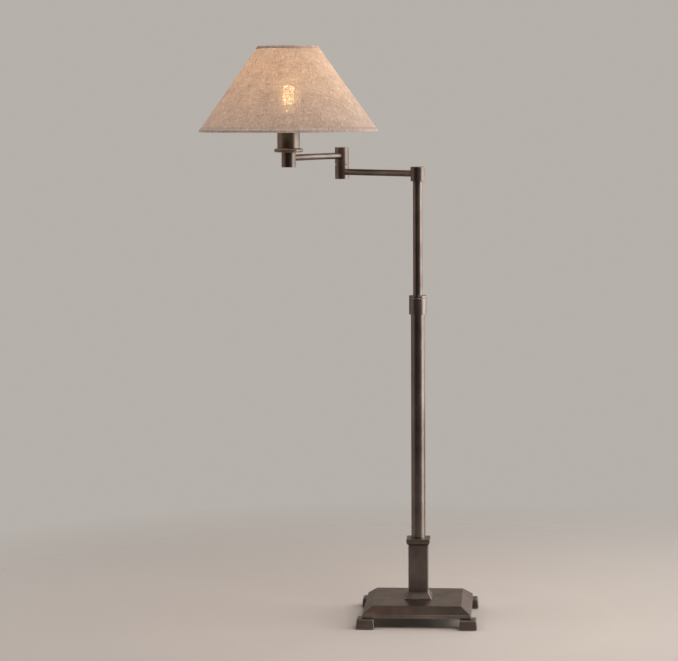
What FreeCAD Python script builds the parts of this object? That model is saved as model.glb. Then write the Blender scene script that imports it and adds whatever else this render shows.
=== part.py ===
"""Floor lamp with a telescoping post, a two-rod swing arm and an empire shade.

Millimetres. The origin is on the post's axis at floor level, +Z is up, the front of the square base
faces -Y and the arm swings out to the left, towards -X.
"""

import FreeCAD, Part
import math
import os

V = FreeCAD.Vector
UP = V(0, 0, 1)

# ---- fits ----
press_gap = 0.05        # radial, between two pieces that stay together
running_gap = 0.05      # radial, between a shaft and the bearing that it turns or slides in
free_gap = 0.35         # radial, between neighbours that move past each other
past = 1.0              # how far a cut reaches beyond the piece that it is made in

# ---- base ----
pad_height = 1.5
pad_radius = 11.0
foot_low_half = 18.25
foot_high_half = 16.4
foot_outer = 119.0      # from the post's axis to the foot's outer face, at the floor
foot_bevel = 2.0
plate_low = 20.5
plate_half = 107.0
plate_edge_height = 7.0
plate_top = 42.0
plate_top_half = 87.5
recess_half = 99.0
recess_top_half = 83.0
recess_top = 38.0
boss_inner = 80.0       # the corner bosses start this far from the axis, both ways
foot_screw_place = 93.5
foot_screw_radius = 3.0
foot_screw_head_radius = 5.0
foot_screw_head_top = 9.0
foot_screw_top = 33.0
ballast_half = 78.0
ballast_low = 25.0
ballast_hole_radius = 18.0
lead_slot_half = 9.0
cover_thickness = 1.5
cover_clearance = 1.0
cover_screw_place = 62.0
cover_screw_radius = 2.0
cover_screw_length = 9.0
cover_screw_head_radius = 4.0
cover_screw_head_height = 2.2
grommet_y = 68.0
grommet_bore_radius = 3.2
grommet_hole_radius = 6.0
grommet_flange_radius = 8.0
grommet_lip_radius = 7.5

# ---- neck ----
flare_half = 27.0
flare_top = 57.0
flare_sag = 0.43        # where the middle of a hollow side lies, as a part of its run
neck_half = 19.5
neck_wall = 3.0
neck_chamfer = 0.8
neck_top = 148.6
undercut_half = 17.6
undercut_top = 150.8
cap_half = 23.25
cap_bevel_half = 20.6
cap_bevel_top = 154.8
cap_top = 162.0
cap_edge = 0.7
tenon_length = 7.0

# ---- post ----
tie_rod_radius = 5.0
tie_rod_bore = 3.5
tie_rod_low = 32.5
tie_rod_top = 180.0
tie_nut_half_width = 8.5
tie_flange_radius = 14.0
tie_flange_height = 1.5
plug_height = 20.0
lower_tube_radius = 14.0
lower_tube_bore = 12.3
lower_tube_seat = 156.0
lower_tube_top = 612.0
upper_tube_radius = 9.525
upper_tube_bore = 8.025
upper_tube_low = 412.0
upper_tube_top = 871.0
bush_length = 25.0
seat_low = 592.0
seat_shoulder_top = 615.0
seat_top = 636.0
seat_nose_radius = 13.5
seat_bore = 10.55
collet_length = 20.0
collet_flange_radius = 13.0
collet_top = 640.0
collet_slits = 4
collet_slit_length = 13.0
collet_slit_width = 1.0
collar_low = 609.7
collar_top = 647.2
collar_radius = 17.5
collar_chamfer = 1.0
collar_groove_depth = 0.7
collar_groove_width = 1.0
collar_groove_below_top = 4.5
shoulder_gap = 0.5      # between the collar's step and the seat's shoulder
flange_gap = 0.4        # between the collar's step and the collet's flange

# ---- swing arm ----
arm_length = 220.0      # between the axes of two knuckles, the same for both rods
arm_1_angle = 136.75    # degrees from +X, from the post to the elbow
arm_2_angle = 245.94    # degrees from +X, from the elbow to the socket
rod_radius = 6.35
rod_bore = 4.85
rod_1_height = 887.5
rod_2_height = 920.5
rod_end = 10.3          # from a knuckle's axis to the end of the rod in it
barrel_radius = 14.0
barrel_cavity = 10.0
barrel_chamfer = 0.8
disc_radius = 11.0      # the closing disc of a knuckle
disc_height = 2.5
pin_radius = 6.0
pin_bore = 3.5
pin_flange_radius = 8.5
pin_flange_height = 1.5
nut_half_width = 7.5
nut_height = 3.0
nut_gap = 0.4
washer_radius = 10.8
washer_height = 0.8
post_barrel_low = 873.0
post_barrel_top = 901.0
post_web_top = 881.0
post_pin_top = 884.5
post_plug_length = 25.0
elbow_gap_low = 902.0
elbow_gap_top = 903.2
elbow_web_low = 894.5
elbow_web_top = 910.5
elbow_pin_top = 913.9
elbow_top = 937.5
socket_barrel_low = 902.2
socket_web_low = 927.5
ring_low = 931.5
ring_top = 938.8
ring_radius = 28.0

# ---- lamp holder and bulb ----
cup_radius = 22.0
cup_wall = 1.2
cup_top = 995.0
nipple_low = 922.0
nipple_top = 948.0
holder_radius = 19.0
holder_low = 943.0
holder_floor = 972.0
holder_top = 1003.0
holder_bore = 14.0
holder_mouth_bore = 16.6
shell_bore = 13.4
shell_low = 973.5
shell_top = 999.0
key_height = 958.0
key_radius = 2.0
key_clearance = 1.0     # radial, where the key passes the cup
key_inner = 8.0
key_depth = 4.0         # how far the key reaches into the knob
knob_inner = 24.5
knob_outer = 36.0
knob_radius = 6.0
knob_flutes = 12
flute_radius = 0.9
flute_centre = 6.35     # from the knob's axis to the axis of a flute
flute_start = 27.0
bulb_cap_radius = 13.0
bulb_cap_low = 974.5
contact_radius = 5.0
contact_height = 1.3
bulb_low = 999.0
bulb_neck_radius = 13.4
bulb_radius = 30.0
bulb_centre = 1053.0
bulb_wall = 0.9
lead_radius = 2.5
lead_bend = 6.0
lead_height = 28.0
lead_start = 58.0
lead_top = 183.0

# ---- shade ----
shade_low = 971.2
shade_top = 1138.0
shade_low_radius = 176.2
shade_top_radius = 58.0
linen = 1.0
styrene = 0.8
trim = 0.8
bottom_trim_height = 8.0
top_trim_height = 5.0
wire_radius = 1.75
wire_gap = 0.1
bottom_wire_height = 973.95
top_wire_height = 1135.65
spoke_radius = 1.6
spoke_root = 2.0        # how far a spoke starts inside the rim of the holder ring
spokes = 3
uno_low = 995.0
uno_height = 3.0
uno_radius = 25.0
ring_nut_height = 5.0
ring_nut_radius = 22.8


def polar(angle, distance, start=(0.0, 0.0)):
    """The place a distance away from a start, at an angle in degrees from +X."""
    turn = math.radians(angle)
    return start[0] + distance * math.cos(turn), start[1] + distance * math.sin(turn)


post = (0.0, 0.0)
elbow = polar(arm_1_angle, arm_length)
socket = polar(arm_2_angle, arm_length, elbow)


def disc(radius, low, high, place=post):
    """An upright cylinder."""
    return Part.makeCylinder(radius, high - low, V(place[0], place[1], low), UP)


def tube(outer, inner, low, high, place=post):
    """An upright tube, from its outer and inner radius."""
    return disc(outer, low, high, place).cut(disc(inner, low - past, high + past, place))


def square(half, low, high, place=post):
    """An upright square block, half as wide as its sides are long."""
    corner = V(place[0] - half, place[1] - half, low)
    return Part.makeBox(2 * half, 2 * half, high - low, corner)


def square_wire(half, height, place=post):
    corners = [(-half, -half), (half, -half), (half, half), (-half, half), (-half, -half)]
    return Part.makePolygon([V(place[0] + x, place[1] + y, height) for x, y in corners])


def square_taper(low_half, high_half, low, high, place=post):
    """A square block whose four sides lean alike."""
    wires = [square_wire(low_half, low, place), square_wire(high_half, high, place)]
    return Part.makeLoft(wires, True, True)


def hexagon(half_width, low, high, place=post):
    """A hexagonal prism, half_width from its axis to a flat."""
    corner = half_width / math.cos(math.pi / 6)
    points = []
    for step in range(7):
        x, y = polar(60 * step, corner, place)
        points.append(V(x, y, low))
    return Part.Face(Part.makePolygon(points)).extrude(V(0, 0, high - low))


def turned(points, place=post):
    """A solid of revolution about the vertical through place, from (radius, height) corners."""
    corners = [V(place[0] + radius, place[1], height) for radius, height in points]
    face = Part.Face(Part.makePolygon(corners + corners[:1]))
    return face.revolve(V(place[0], place[1], 0), UP, 360)


def level_rod(radius, start, angle, near, far, height):
    """A level cylinder from near to far along the line that leaves start at an angle."""
    x, y = polar(angle, near, start)
    turn = math.radians(angle)
    return Part.makeCylinder(radius, far - near, V(x, y, height), V(math.cos(turn), math.sin(turn), 0))


def chamfered_disc(radius, low, high, chamfer, place=post):
    """A turned disc with both rims chamfered."""
    corners = [(0, low), (radius - chamfer, low), (radius, low + chamfer)]
    corners += [(radius, high - chamfer), (radius - chamfer, high), (0, high)]
    return turned(corners, place)


# ---- the base and the neck ----

def foot(side_x, side_y):
    """A square foot that narrows upwards, with a bevelled shoulder and a hole for its screw."""
    centre = foot_outer - foot_low_half
    place = (side_x * centre, side_y * centre)
    shoulder = plate_low - foot_bevel
    body = square_taper(foot_low_half, foot_high_half, pad_height, shoulder, place)
    crown = square_taper(foot_high_half, foot_high_half - foot_bevel, shoulder, plate_low, place)
    screw = (side_x * foot_screw_place, side_y * foot_screw_place)
    return body.fuse(crown).removeSplitter().cut(foot_screw(screw, press_gap))


def foot_screw(place, gap=0.0):
    """A screw up into the corner boss, its head sunk into the foot."""
    head = disc(foot_screw_head_radius + gap, pad_height, foot_screw_head_top, place)
    shank = disc(foot_screw_radius + gap, foot_screw_head_top, foot_screw_top, place)
    return head.fuse(shank)


def cover_screw(place, gap=0.0):
    """A screw up through the cover into the ballast."""
    seat = ballast_low - cover_thickness
    head = disc(cover_screw_head_radius + gap, seat - cover_screw_head_height, seat, place)
    shank = disc(cover_screw_radius + gap, seat, seat + cover_screw_length, place)
    return head.fuse(shank)


def corners(distance):
    """The four places that lie this far from the post's axis along X and along Y."""
    return [(x * distance, y * distance) for x in (-1, 1) for y in (-1, 1)]


def base_screws():
    screws = [foot_screw(place) for place in corners(foot_screw_place)]
    screws += [cover_screw(place) for place in corners(cover_screw_place)]
    return Part.makeCompound(screws)


def floor_pads():
    centre = foot_outer - foot_low_half
    return Part.makeCompound([disc(pad_radius, 0, pad_height, place) for place in corners(centre)])


def base_plate():
    """A cast shell: a bevelled square lid with a recess below and a boss in each corner."""
    edge_top = plate_low + plate_edge_height
    body = square(plate_half, plate_low, edge_top)
    body = body.fuse(square_taper(plate_half, plate_top_half, edge_top, plate_top)).removeSplitter()
    recess = square(recess_half, plate_low - past, edge_top)
    recess = recess.fuse(square_taper(recess_half, recess_top_half, edge_top, recess_top))
    boss_half = (plate_half - boss_inner) / 2
    for place in corners(boss_inner + boss_half):
        recess = recess.cut(square(boss_half, plate_low - 2 * past, recess_top + past, place))
    body = body.cut(recess).cut(disc(tie_rod_radius + press_gap, recess_top - past, plate_top + past))
    for place in corners(foot_screw_place):
        body = body.cut(foot_screw(place, press_gap))
    return body


def ballast():
    """An iron slab with a hole for the tie rod's nut and a slot for the lead."""
    body = square(ballast_half, ballast_low, recess_top)
    body = body.cut(disc(ballast_hole_radius, ballast_low - past, recess_top + past))
    slot_length = grommet_y + lead_slot_half
    slot_height = recess_top - ballast_low + 2 * past
    corner = V(-lead_slot_half, 0, ballast_low - past)
    body = body.cut(Part.makeBox(2 * lead_slot_half, slot_length, slot_height, corner))
    for place in corners(cover_screw_place):
        body = body.cut(cover_screw(place, press_gap))
    return body


def bottom_cover():
    """A sheet that closes the recess, notched round the corner bosses."""
    low = ballast_low - cover_thickness
    body = square(recess_half - cover_clearance, low, ballast_low)
    notch_half = (recess_half - boss_inner) / 2 + cover_clearance
    for place in corners(boss_inner - cover_clearance + notch_half):
        body = body.cut(square(notch_half, low - past, ballast_low + past, place))
    for place in corners(cover_screw_place):
        body = body.cut(cover_screw(place, press_gap))
    return body.cut(disc(grommet_hole_radius, low - past, ballast_low + past, (0, grommet_y)))


def cord_grommet():
    """A bush that snaps into the cover, with a flange below it and a lip above it."""
    place = (0, grommet_y)
    cover_low = ballast_low - cover_thickness
    low = cover_low - cover_thickness
    top = ballast_low + cover_thickness
    body = disc(grommet_flange_radius, low, cover_low, place)
    body = body.fuse(disc(grommet_hole_radius - press_gap, cover_low, ballast_low, place))
    body = body.fuse(disc(grommet_lip_radius, ballast_low, top, place))
    return body.cut(disc(grommet_bore_radius, low - past, top + past, place))


def hollow_side(side, half_low, half_high, low, high, reach):
    """A bar along X that cuts a shallow hollow along one side of the flare."""
    run = half_low - half_high
    sag = V(0, side * (half_high + flare_sag * run), (low + high) / 2)
    curve = Part.Arc(V(0, side * half_low, low), sag, V(0, side * half_high, high)).toShape()
    outside = [V(0, side * half_high, high), V(0, side * reach, high)]
    outside += [V(0, side * reach, low), V(0, side * half_low, low)]
    face = Part.Face(Part.Wire([curve] + Part.makePolygon(outside).Edges))
    bar = face.extrude(V(2 * reach, 0, 0))
    bar.translate(V(-reach, 0, 0))
    return bar


def neck_foot():
    """The flare between the plate and the column, hollow-sided all round."""
    body = square(flare_half, plate_top, flare_top)
    for side in (-1, 1):
        bar = hollow_side(side, flare_half, neck_half, plate_top, flare_top, flare_half + past)
        crossing = bar.copy()
        crossing.rotate(V(0, 0, 0), UP, 90)
        body = body.cut(bar).cut(crossing)
    return body.cut(square(neck_half - neck_wall, plate_top - past, flare_top + past))


def neck_column():
    """A square tube with its four upright edges chamfered."""
    body = square(neck_half, flare_top, neck_top)
    upright = [edge for edge in body.Edges if edge.BoundBox.ZLength > 0]
    body = body.makeChamfer(neck_chamfer, upright)
    return body.cut(square(neck_half - neck_wall, flare_top - past, neck_top + past))


def neck_cap():
    """The square moulding on the column, with a tenon below and a seat for the lower tube."""
    body = square(neck_half - neck_wall - press_gap, neck_top - tenon_length, neck_top)
    body = body.fuse(square(undercut_half, neck_top, undercut_top))
    body = body.fuse(square_taper(cap_bevel_half, cap_half, undercut_top, cap_bevel_top))
    body = body.fuse(square(cap_half, cap_bevel_top, cap_top - cap_edge))
    body = body.fuse(square_taper(cap_half, cap_half - cap_edge, cap_top - cap_edge, cap_top))
    body = body.cut(disc(lower_tube_radius + press_gap, lower_tube_seat, cap_top + past))
    bore_low = neck_top - tenon_length - past
    return body.cut(disc(tie_rod_radius + press_gap, bore_low, cap_top + past)).removeSplitter()


def tie_rod():
    """The hollow threaded rod that holds the base, the neck and the post together."""
    return tube(tie_rod_radius, tie_rod_bore, tie_rod_low, tie_rod_top)


def tie_rod_nut():
    """A flanged nut that pulls the neck and the post down on the plate."""
    flange_low = recess_top - tie_flange_height
    body = hexagon(tie_nut_half_width, tie_rod_low, flange_low)
    body = body.fuse(disc(tie_flange_radius, flange_low, recess_top))
    return body.cut(disc(tie_rod_radius + press_gap, tie_rod_low - past, recess_top + past))


# ---- the post ----

def lower_tube():
    return tube(lower_tube_radius, lower_tube_bore, lower_tube_seat, lower_tube_top)


def tube_plug():
    """The plug in the foot of the lower tube, which the tie rod screws into."""
    top = lower_tube_seat + plug_height
    return tube(lower_tube_bore - press_gap, tie_rod_radius + press_gap, lower_tube_seat, top)


def base_lead():
    """The lead inside the base: level in the ballast's slot, then up the hollow tie rod."""
    level_start = V(0, lead_start, lead_height)
    bend_start = V(0, lead_bend, lead_height)
    corner = lead_bend * (1 - math.sqrt(0.5))
    bend_middle = V(0, corner, lead_height + corner)
    bend_end = V(0, 0, lead_height + lead_bend)
    route = [Part.makeLine(level_start, bend_start)]
    route.append(Part.Arc(bend_start, bend_middle, bend_end).toShape())
    route.append(Part.makeLine(bend_end, V(0, 0, lead_top)))
    section = Part.Wire([Part.makeCircle(lead_radius, level_start, V(0, -1, 0))])
    return Part.Wire(route).makePipeShell([section], True, False)


def collar_seat():
    """The threaded head in the top of the lower tube, which the collar turns on."""
    body = disc(lower_tube_bore - press_gap, seat_low, lower_tube_top)
    body = body.fuse(disc(lower_tube_radius, lower_tube_top, seat_shoulder_top))
    body = body.fuse(disc(seat_nose_radius, seat_shoulder_top, seat_top))
    return body.cut(disc(seat_bore, seat_low - past, seat_top + past))


def collet():
    """A slit ring that the collar squeezes on the upper tube."""
    low = seat_top - collet_length
    body = disc(seat_bore - press_gap, low, seat_top)
    body = body.fuse(disc(collet_flange_radius, seat_top, collet_top))
    body = body.cut(disc(upper_tube_radius + running_gap, low - past, collet_top + past))
    for step in range(collet_slits):
        corner = V(0, -collet_slit_width / 2, low - past)
        slit = Part.makeBox(seat_bore + past, collet_slit_width, collet_slit_length + past, corner)
        slit.rotate(V(0, 0, 0), UP, 360 * step / collet_slits)
        body = body.cut(slit)
    return body


def collar():
    """The clamp collar: a stepped bore below, and one turned groove near its top."""
    body = chamfered_disc(collar_radius, collar_low, collar_top, collar_chamfer)
    body = body.cut(disc(lower_tube_radius + free_gap, collar_low - past, seat_shoulder_top + shoulder_gap))
    body = body.cut(disc(seat_nose_radius + running_gap, collar_low, collet_top + flange_gap))
    body = body.cut(disc(upper_tube_radius + free_gap, collar_low, collar_top + past))
    groove_top = collar_top - collar_groove_below_top
    groove_low = groove_top - collar_groove_width
    groove_radius = collar_radius - collar_groove_depth
    return body.cut(tube(collar_radius + past, groove_radius, groove_low, groove_top))


def upper_tube():
    return tube(upper_tube_radius, upper_tube_bore, upper_tube_low, upper_tube_top)


def guide_bush():
    """The bush on the foot of the upper tube that slides in the lower tube."""
    outer = lower_tube_bore - running_gap
    top = upper_tube_low + bush_length
    return tube(outer, upper_tube_radius + press_gap, upper_tube_low, top)


def post_spindle():
    """The hollow pin on top of the upper tube that the first knuckle turns on."""
    low = upper_tube_top - post_plug_length
    shoulder = post_barrel_low - washer_height
    body = disc(upper_tube_bore - press_gap, low, upper_tube_top)
    body = body.fuse(disc(upper_tube_radius, upper_tube_top, shoulder))
    body = body.fuse(disc(pin_radius, shoulder, post_pin_top))
    return body.cut(disc(pin_bore, low - past, post_pin_top + past))


def knuckle_washer(low, high, place):
    return tube(washer_radius, pin_radius + running_gap, low, high, place)


def knuckle_nut(low, place):
    """The nut on a pin, inside the knuckle's cavity."""
    top = low + nut_height
    body = hexagon(nut_half_width, low, top, place)
    return body.cut(disc(pin_radius + press_gap, low - past, top + past, place))


# ---- the swing arm ----

def knuckle(low, high, cavity_low, cavity_high, place, rod_angle, rod_height):
    """A turned barrel with a cavity and the cross hole that a rod is brazed into."""
    body = chamfered_disc(barrel_radius, low, high, barrel_chamfer, place)
    body = body.cut(disc(barrel_cavity, cavity_low, cavity_high, place))
    near = barrel_cavity / 2
    far = barrel_radius + past
    return body.cut(level_rod(rod_radius + press_gap, place, rod_angle, near, far, rod_height))


def closing_disc(low, place):
    return disc(disc_radius - press_gap, low, low + disc_height, place)


def disc_seat(low, place):
    return disc(disc_radius, low, low + disc_height, place)


def post_barrel():
    disc_low = post_barrel_top - disc_height
    body = knuckle(post_barrel_low, post_barrel_top, post_web_top, disc_low, post, arm_1_angle, rod_1_height)
    body = body.cut(disc(pin_radius + running_gap, post_barrel_low - past, post_web_top + past))
    return body.cut(disc_seat(disc_low, post))


def elbow_lower_barrel():
    cavity_low = post_barrel_low + disc_height
    back = arm_1_angle + 180
    body = knuckle(post_barrel_low, elbow_gap_low, cavity_low, elbow_web_low, elbow, back, rod_1_height)
    body = body.cut(disc(pin_radius + press_gap, elbow_web_low - past, elbow_gap_low + past, elbow))
    return body.cut(disc_seat(post_barrel_low, elbow))


def elbow_spindle():
    """The hollow pin between the two barrels of the elbow, with a flange below its web."""
    low = elbow_web_low - pin_flange_height
    body = disc(pin_flange_radius, low, elbow_web_low, elbow)
    body = body.fuse(disc(pin_radius, elbow_web_low, elbow_pin_top, elbow))
    return body.cut(disc(pin_bore, low - past, elbow_pin_top + past, elbow))


def elbow_upper_barrel():
    disc_low = elbow_top - disc_height
    body = knuckle(elbow_gap_top, elbow_top, elbow_web_top, disc_low, elbow, arm_2_angle, rod_2_height)
    body = body.cut(disc(pin_radius + running_gap, elbow_gap_top - past, elbow_web_top + past, elbow))
    return body.cut(disc_seat(disc_low, elbow))


def socket_barrel():
    cavity_low = socket_barrel_low + disc_height
    back = arm_2_angle + 180
    body = knuckle(socket_barrel_low, ring_low, cavity_low, socket_web_low, socket, back, rod_2_height)
    body = body.cut(disc(tie_rod_radius + press_gap, socket_web_low - past, ring_low + past, socket))
    return body.cut(disc_seat(socket_barrel_low, socket))


def arm_rod(start, angle, height):
    """The tube between two knuckles."""
    far = arm_length - rod_end
    outer = level_rod(rod_radius, start, angle, rod_end, far, height)
    return outer.cut(level_rod(rod_bore, start, angle, rod_end - past, far + past, height))


def arm_lead(start, angle, height):
    return level_rod(lead_radius, start, angle, rod_end, arm_length - rod_end, height)


# ---- the lamp holder, the bulb and the switch ----

def socket_nipple():
    """The threaded pipe that clamps the ring and the cup on the last knuckle."""
    body = disc(tie_rod_radius, nipple_low, nipple_top, socket)
    body = body.fuse(hexagon(nut_half_width, socket_web_low - nut_height, socket_web_low, socket))
    return body.cut(disc(tie_rod_bore, nipple_low - past, nipple_top + past, socket))


def drip_ring():
    """A disc with a half-round edge."""
    round_edge = (ring_top - ring_low) / 2
    flat = ring_radius - round_edge
    x, y = socket
    low = V(x + flat, y, ring_low)
    high = V(x + flat, y, ring_top)
    bore = tie_rod_radius + press_gap
    edge = Part.Arc(low, V(x + ring_radius, y, ring_low + round_edge), high).toShape()
    rest = Part.makePolygon([high, V(x + bore, y, ring_top), V(x + bore, y, ring_low), low])
    face = Part.Face(Part.Wire([edge] + rest.Edges))
    return face.revolve(V(x, y, 0), UP, 360)


def key_hole(radius):
    return level_rod(radius, socket, 90, key_inner - past, cup_radius + past, key_height)


def socket_cup():
    """A drawn cup round the lamp holder, with a hole behind for the switch key."""
    floor = ring_top + cup_wall
    body = disc(cup_radius, ring_top, cup_top, socket)
    body = body.cut(disc(cup_radius - cup_wall, floor, cup_top + past, socket))
    body = body.cut(disc(tie_rod_radius + press_gap, ring_top - past, floor + past, socket))
    return body.cut(key_hole(key_radius + key_clearance))


def lamp_holder():
    """The moulded holder: a well for the screw shell above, and the nipple's hole below."""
    body = disc(holder_radius, holder_low, holder_top, socket)
    body = body.cut(disc(holder_bore, holder_floor, holder_top + past, socket))
    body = body.cut(disc(holder_mouth_bore, shell_top, holder_top + past, socket))
    body = body.cut(disc(tie_rod_radius + press_gap, holder_low - past, nipple_top, socket))
    return body.cut(key_hole(key_radius + running_gap))


def screw_shell():
    return tube(holder_bore - press_gap, shell_bore, shell_low, shell_top, socket)


def switch_key():
    return level_rod(key_radius, socket, 90, key_inner, knob_inner + key_depth, key_height)


def switch_knob():
    """A fluted knob on the key's outer end."""
    body = level_rod(knob_radius, socket, 90, knob_inner, knob_outer, key_height)
    for step in range(knob_flutes):
        x, z = polar(360 * step / knob_flutes, flute_centre, (socket[0], key_height))
        start = V(x, socket[1] + flute_start, z)
        body = body.cut(Part.makeCylinder(flute_radius, knob_outer - knob_inner, start, V(0, 1, 0)))
    key_end = knob_inner + key_depth
    return body.cut(level_rod(key_radius + press_gap, socket, 90, knob_inner - past, key_end, key_height))


def bulb_cap():
    """The screw cap with its insulated centre contact."""
    body = disc(bulb_cap_radius, bulb_cap_low, bulb_low, socket)
    return body.fuse(disc(contact_radius, bulb_cap_low - contact_height, bulb_cap_low, socket))


def bulb_form(radius, neck_radius):
    """A pear: a sphere on the cone that touches it and passes through the neck's edge."""
    drop = bulb_centre - bulb_low
    reach = math.hypot(neck_radius, drop)
    lean = math.acos(radius / reach) - math.atan2(neck_radius, drop)
    touch_radius = radius * math.sin(lean)
    touch_height = bulb_centre - radius * math.cos(lean)
    x, y = socket
    neck = V(x + neck_radius, y, bulb_low)
    touch = V(x + touch_radius, y, touch_height)
    pole = V(x, y, bulb_centre + radius)
    middle = lean / 2
    side = V(x + radius * math.cos(middle), y, bulb_centre + radius * math.sin(middle))
    outline = [Part.makeLine(neck, touch), Part.Arc(touch, side, pole).toShape()]
    outline.append(Part.makeLine(pole, V(x, y, bulb_low)))
    outline.append(Part.makeLine(V(x, y, bulb_low), neck))
    return Part.Face(Part.Wire(outline)).revolve(V(x, y, 0), UP, 360)


def bulb_glass():
    inside = bulb_form(bulb_radius - bulb_wall, bulb_neck_radius - bulb_wall)
    return bulb_form(bulb_radius, bulb_neck_radius).cut(inside)


# ---- the shade ----

shade_slope = (shade_low_radius - shade_top_radius) / (shade_top - shade_low)
slant_factor = math.hypot(1.0, shade_slope)     # level distance across a skin, over its thickness


def cone_radius(height):
    """The radius of the linen's outer face at a height."""
    return shade_low_radius - shade_slope * (height - shade_low)


def cone_skin(inside, thickness, low, high):
    """A skin of the cone, from inside to inside + thickness measured square to the linen's face."""
    near = inside * slant_factor
    far = (inside + thickness) * slant_factor
    outline = [(cone_radius(low) + near, low), (cone_radius(low) + far, low)]
    outline += [(cone_radius(high) + far, high), (cone_radius(high) + near, high)]
    return turned(outline, socket)


def wire_ring_radius(height):
    """The radius of a ring of wire that lies just inside the liner at a height."""
    return cone_radius(height) - (linen + styrene + wire_radius + wire_gap) * slant_factor


def wire_ring(height):
    """A ring of round wire that the liner and the cover are stretched over."""
    return Part.makeTorus(wire_ring_radius(height), wire_radius, V(socket[0], socket[1], height), UP)


def shade_fitter():
    """The ring on the lamp holder and three spokes, which are welded to the bottom wire."""
    body = tube(uno_radius, holder_radius + free_gap, uno_low, uno_low + uno_height, socket)
    for step in range(spokes):
        angle = 90 + 360 * step / spokes
        near = polar(angle, uno_radius - spoke_root, socket)
        far = polar(angle, wire_ring_radius(bottom_wire_height), socket)
        start = V(near[0], near[1], uno_low + uno_height / 2)
        span = V(far[0], far[1], bottom_wire_height) - start
        body = body.fuse(Part.makeCylinder(spoke_radius, span.Length, start, span))
    return body.removeSplitter().cut(wire_ring(bottom_wire_height))


def shade_ring_nut():
    """The threaded ring that clamps the fitter on the lamp holder."""
    low = uno_low + uno_height
    return tube(ring_nut_radius, holder_radius + press_gap, low, low + ring_nut_height, socket)


def main():
    nodes = {
        "floor_pads": floor_pads(),
        "foot_front_left": foot(-1, -1),
        "foot_front_right": foot(1, -1),
        "foot_back_left": foot(-1, 1),
        "foot_back_right": foot(1, 1),
        "base_screws": base_screws(),
        "base_plate": base_plate(),
        "ballast": ballast(),
        "bottom_cover": bottom_cover(),
        "cord_grommet": cord_grommet(),
        "neck_foot": neck_foot(),
        "neck_column": neck_column(),
        "neck_cap": neck_cap(),
        "tie_rod": tie_rod(),
        "tie_rod_nut": tie_rod_nut(),
        "lower_tube": lower_tube(),
        "tube_plug": tube_plug(),
        "base_lead": base_lead(),
        "collar_seat": collar_seat(),
        "collet": collet(),
        "collar": collar(),
        "upper_tube": upper_tube(),
        "guide_bush": guide_bush(),
        "post_spindle": post_spindle(),
        "post_washer": knuckle_washer(post_barrel_low - washer_height, post_barrel_low, post),
        "post_nut": knuckle_nut(post_web_top + nut_gap, post),
        "post_lead": disc(lead_radius, upper_tube_low, post_pin_top),
        "post_barrel": post_barrel(),
        "post_disc": closing_disc(post_barrel_top - disc_height, post),
        "arm_1_rod": arm_rod(post, arm_1_angle, rod_1_height),
        "arm_1_lead": arm_lead(post, arm_1_angle, rod_1_height),
        "elbow_lower_barrel": elbow_lower_barrel(),
        "elbow_lower_disc": closing_disc(post_barrel_low, elbow),
        "elbow_spindle": elbow_spindle(),
        "elbow_washer": knuckle_washer(elbow_gap_low, elbow_gap_top, elbow),
        "elbow_nut": knuckle_nut(elbow_web_top + nut_gap, elbow),
        "elbow_upper_barrel": elbow_upper_barrel(),
        "elbow_upper_disc": closing_disc(elbow_top - disc_height, elbow),
        "arm_2_rod": arm_rod(elbow, arm_2_angle, rod_2_height),
        "arm_2_lead": arm_lead(elbow, arm_2_angle, rod_2_height),
        "socket_barrel": socket_barrel(),
        "socket_barrel_disc": closing_disc(socket_barrel_low, socket),
        "socket_nipple": socket_nipple(),
        "drip_ring": drip_ring(),
        "socket_cup": socket_cup(),
        "lamp_holder": lamp_holder(),
        "screw_shell": screw_shell(),
        "bulb_cap": bulb_cap(),
        "bulb_glass": bulb_glass(),
        "switch_key": switch_key(),
        "switch_knob": switch_knob(),
        "shade_fitter": shade_fitter(),
        "shade_bottom_ring": wire_ring(bottom_wire_height),
        "shade_ring_nut": shade_ring_nut(),
        "shade_top_ring": wire_ring(top_wire_height),
        "shade_liner": cone_skin(-linen - styrene, styrene, shade_low, shade_top),
        "shade_cover": cone_skin(-linen, linen, shade_low, shade_top),
        "shade_bottom_trim": cone_skin(0, trim, shade_low, shade_low + bottom_trim_height),
        "shade_top_trim": cone_skin(0, trim, shade_top - top_trim_height, shade_top),
    }
    os.makedirs("parts", exist_ok=True)
    for name, shape in nodes.items():
        print(name, "valid" if shape.isValid() else "NOT VALID", len(shape.Solids), round(shape.Volume))
        shape.exportStep("parts/" + name + ".step")


main()
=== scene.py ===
"""Looks of a swing-arm floor lamp: bronzed metal, a linen empire shade and a lit bulb, in metres."""

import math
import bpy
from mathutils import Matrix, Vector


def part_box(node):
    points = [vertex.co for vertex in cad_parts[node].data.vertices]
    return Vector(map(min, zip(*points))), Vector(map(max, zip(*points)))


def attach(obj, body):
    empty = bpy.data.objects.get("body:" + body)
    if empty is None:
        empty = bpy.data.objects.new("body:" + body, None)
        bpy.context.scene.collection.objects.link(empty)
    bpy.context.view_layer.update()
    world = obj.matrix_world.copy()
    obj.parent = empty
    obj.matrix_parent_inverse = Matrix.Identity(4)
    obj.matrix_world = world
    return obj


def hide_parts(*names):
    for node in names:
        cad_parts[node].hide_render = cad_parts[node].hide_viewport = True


bl_info = {
    "name": "Swing-Arm Floor Lamp",
    "version": (1, 0, 0),
    "blender": (4, 5, 0),
    "location": "3D View > Sidebar > Lamp",
    "description": "Builds the metalwork, the shade, the bulb and the studio of a swing-arm floor lamp",
    "category": "Add Mesh",
}

import bmesh
import bpy
import numpy as np
from mathutils import Matrix, Vector

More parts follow.
